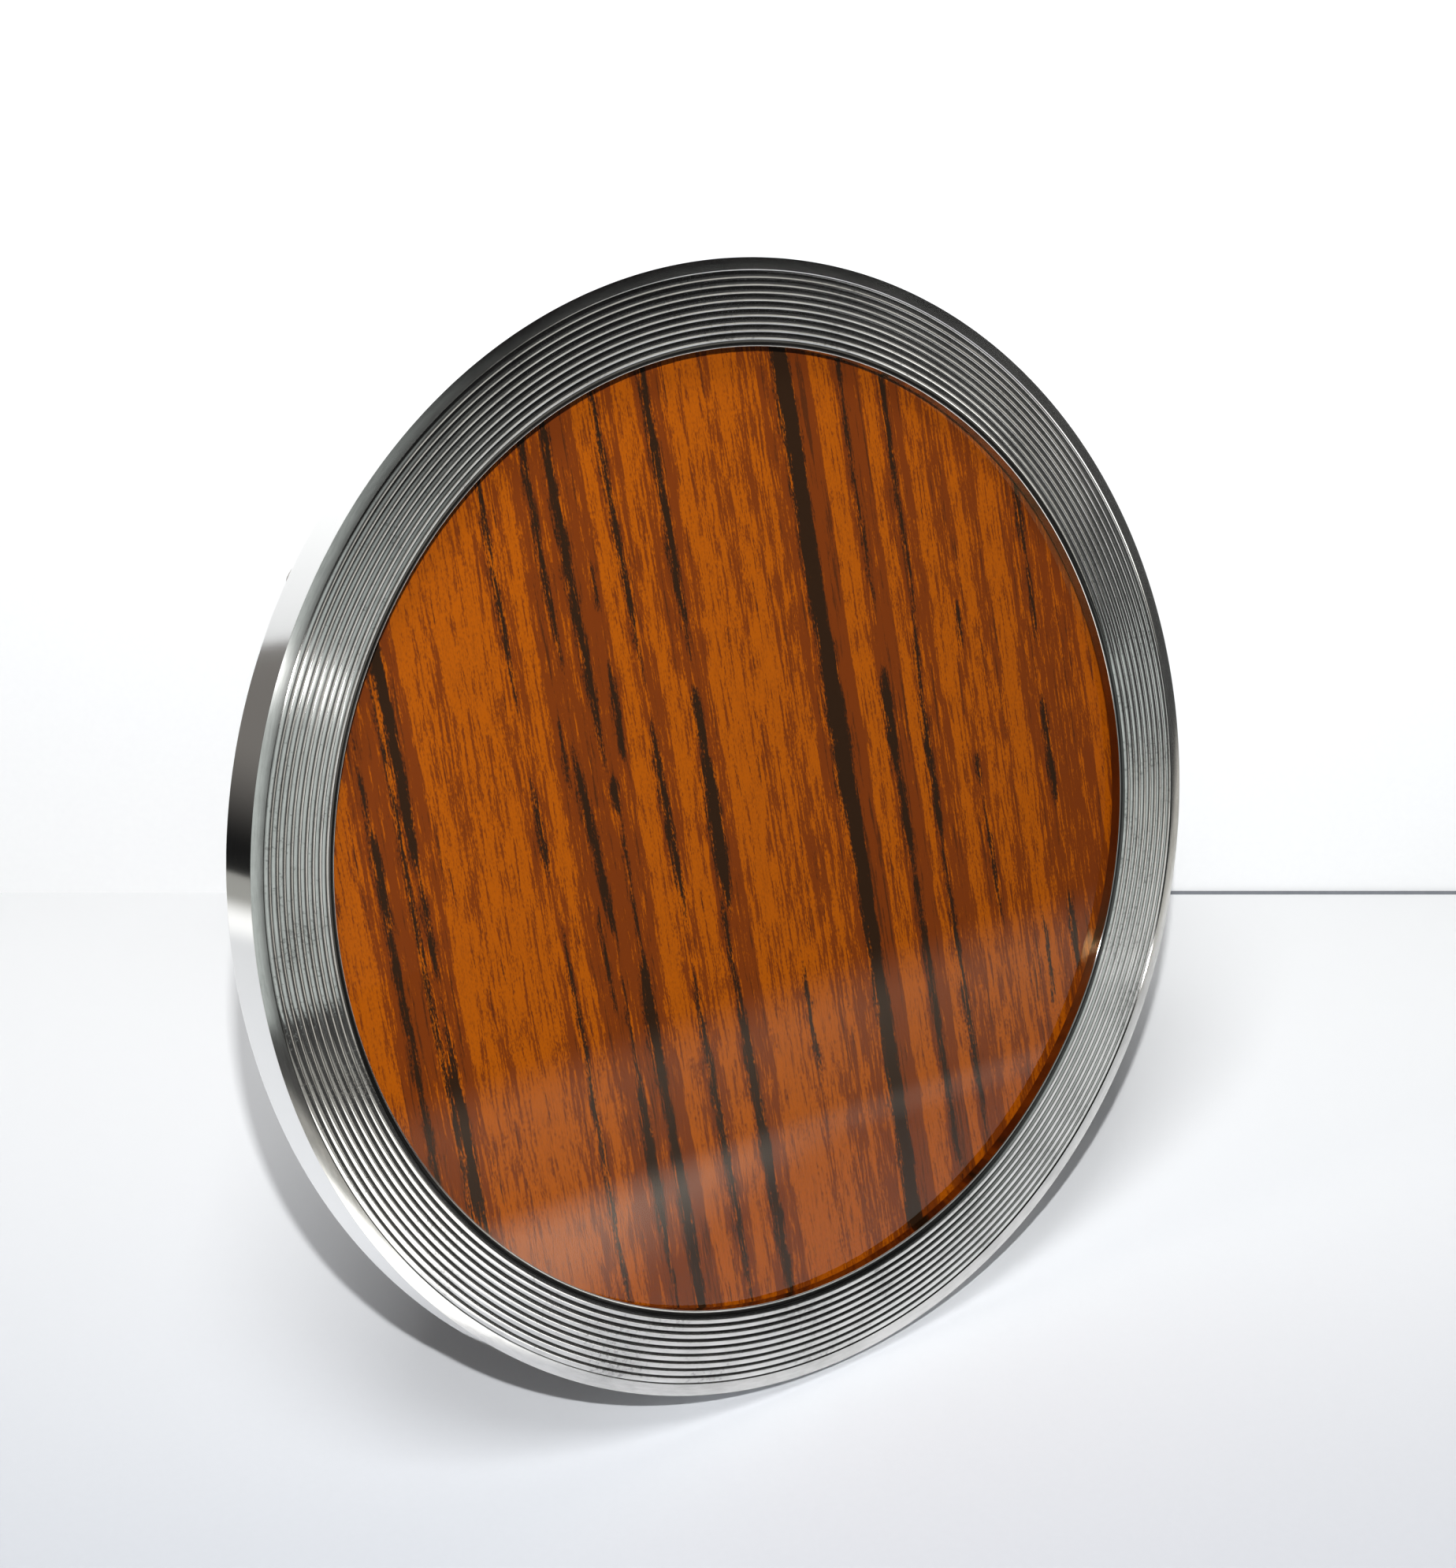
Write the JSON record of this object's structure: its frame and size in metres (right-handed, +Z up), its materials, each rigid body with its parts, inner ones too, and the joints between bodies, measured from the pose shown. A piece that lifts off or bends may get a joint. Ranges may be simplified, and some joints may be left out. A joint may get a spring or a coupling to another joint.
{
  "type": "round photo frame",
  "caption": "Round table photo frame: reeded silver-plated ring with glass over a wood-grain card, leaning on a folding strut, with a back held by turn buttons.",
  "frame": {"origin": "on the floor, under the middle of the standing frame's box", "axes": "+Z up, the face looks along -Y and leans back, +X to the right of someone who looks at the face"},
  "size_m": [0.15, 0.05, 0.1465],
  "materials": {
    "silver_plate": "silver plate, satin reeds with dark tarnish in the grooves, polished side band",
    "clear_glass": "clear, flat",
    "woodgrain_print": "printed wood grain, orange brown with dark streaks",
    "grey_card": "plain",
    "hardboard": "tempered hardboard, matt",
    "nickelled_steel": "nickel plated, satin",
    "brass": "satin"
  },
  "bodies": {
    "frame": {"bezel_ring": "silver_plate", "glass_disc": "clear_glass", "woodgrain_card": "woodgrain_print", "packing_card": "grey_card", "back_board": "hardboard", "turn_button_screws": "nickelled_steel", "turn_button_washers": "nickelled_steel", "hinge_back_leaf": "nickelled_steel", "hinge_pin": "nickelled_steel", "back_leaf_rivets": "brass"},
    "strut": {"strut": "hardboard", "hinge_strut_leaf": "nickelled_steel", "strut_leaf_rivets": "brass"},
    "turn_button_1": {"turn_button_1": "nickelled_steel"},
    "turn_button_2": {"turn_button_2": "nickelled_steel"},
    "turn_button_3": {"turn_button_3": "nickelled_steel"},
    "turn_button_4": {"turn_button_4": "nickelled_steel"}
  },
  "joints": [
    {"name": "strut_hinge", "type": "hinge", "parent": "frame", "child": "strut", "pos_m": [0, 0.009, 0.09603], "axis": [-1, 0, 0], "range_deg": [0, 24]},
    {"name": "turn_button_1_swivel", "type": "hinge", "parent": "frame", "child": "turn_button_1", "pos_m": [0.05485, 0.01275, 0.11679], "axis": [0, -0.9659, 0.2588], "continuous": true},
    {"name": "turn_button_2_swivel", "type": "hinge", "parent": "frame", "child": "turn_button_2", "pos_m": [-0.05485, 0.01275, 0.11679], "axis": [0, -0.9659, 0.2588], "continuous": true},
    {"name": "turn_button_3_swivel", "type": "hinge", "parent": "frame", "child": "turn_button_3", "pos_m": [-0.05485, -0.01107, 0.02788], "axis": [0, -0.9659, 0.2588], "continuous": true},
    {"name": "turn_button_4_swivel", "type": "hinge", "parent": "frame", "child": "turn_button_4", "pos_m": [0.05485, -0.01107, 0.02788], "axis": [0, -0.9659, 0.2588], "continuous": true}
  ]
}
